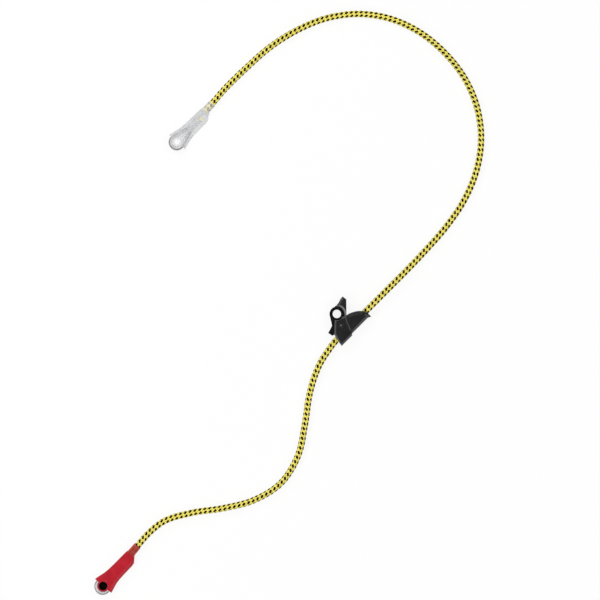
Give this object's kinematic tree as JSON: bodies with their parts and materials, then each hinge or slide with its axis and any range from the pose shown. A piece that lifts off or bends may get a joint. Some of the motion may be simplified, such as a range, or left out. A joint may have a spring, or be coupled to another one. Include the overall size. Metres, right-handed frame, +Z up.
{
  "type": "tree climbing lanyard",
  "caption": "Adjustable positioning lanyard: steel cored braided rope with a thimble eye in a moulded sleeve at each end and a cam rope adjuster with an attachment eye and release lever.",
  "frame": {"origin": "on the surface that the lanyard lies on, under the middle of the box round the adjuster and the two sleeved ends", "axes": "+Z up from the surface; +X to the right and +Y away, as the laid out lanyard is seen from above; the rope runs through the adjuster along the direction halfway between +X and +Y"},
  "size_m": [0.7402, 1.1083, 0.0213],
  "materials": {
    "yellow_rope": "braided polyester yarn, yellow with black tracers",
    "steel_cable": "galvanised wire cable",
    "clear_plastic": "clear moulded plastic",
    "thimble_steel": "plated steel",
    "ferrule_aluminium": "pressed aluminium",
    "yellow_plastic": "soft yellow plastic",
    "grey_shrink": "grey shrunk tube",
    "clear_rubber": "clear soft plastic",
    "red_plastic": "translucent red moulded plastic",
    "black_rubber": "black rubber",
    "black_shell": "satin black coating on folded metal",
    "black_cam": "satin black coating on cast metal",
    "black_lever": "black moulded nylon",
    "dark_steel": "blackened steel",
    "bronze": "sintered bronze",
    "nylon": "white nylon",
    "spring_steel": "bright spring wire"
  },
  "bodies": {
    "lanyard": {"rope_sheath": "yellow_rope", "steel_core": "steel_cable", "clear_sleeve": "clear_plastic", "clear_thimble": "thimble_steel", "clear_ferrule": "ferrule_aluminium", "clear_tail_cap": "yellow_plastic", "clear_sheath_seal": "grey_shrink", "clear_eye_insert": "clear_rubber", "red_sleeve": "red_plastic", "red_thimble": "thimble_steel", "red_ferrule": "ferrule_aluminium", "red_tail_cap": "yellow_plastic", "red_sheath_seal": "grey_shrink", "red_eye_insert": "black_rubber"},
    "adjuster": {"adjuster_shell": "black_shell", "pivot_rivet": "dark_steel", "upper_washer": "nylon", "lower_washer": "nylon", "cam_spring": "spring_steel"},
    "cam": {"cam": "black_cam", "thumb_lever": "black_lever", "pivot_bush": "bronze"}
  },
  "joints": [
    {"name": "adjuster_slide", "type": "slide", "parent": "lanyard", "child": "adjuster", "axis": [0.7071, 0.7071, 0], "range_m": [0, 0.1]},
    {"name": "cam_pivot", "type": "hinge", "parent": "adjuster", "child": "cam", "pos_m": [0.20562, 0.04248, 0.0104], "axis": [0, 0, 1], "range_deg": [-28, 0], "stiffness_Nm_per_rad": 0.06, "springref_deg": 34.38}
  ]
}
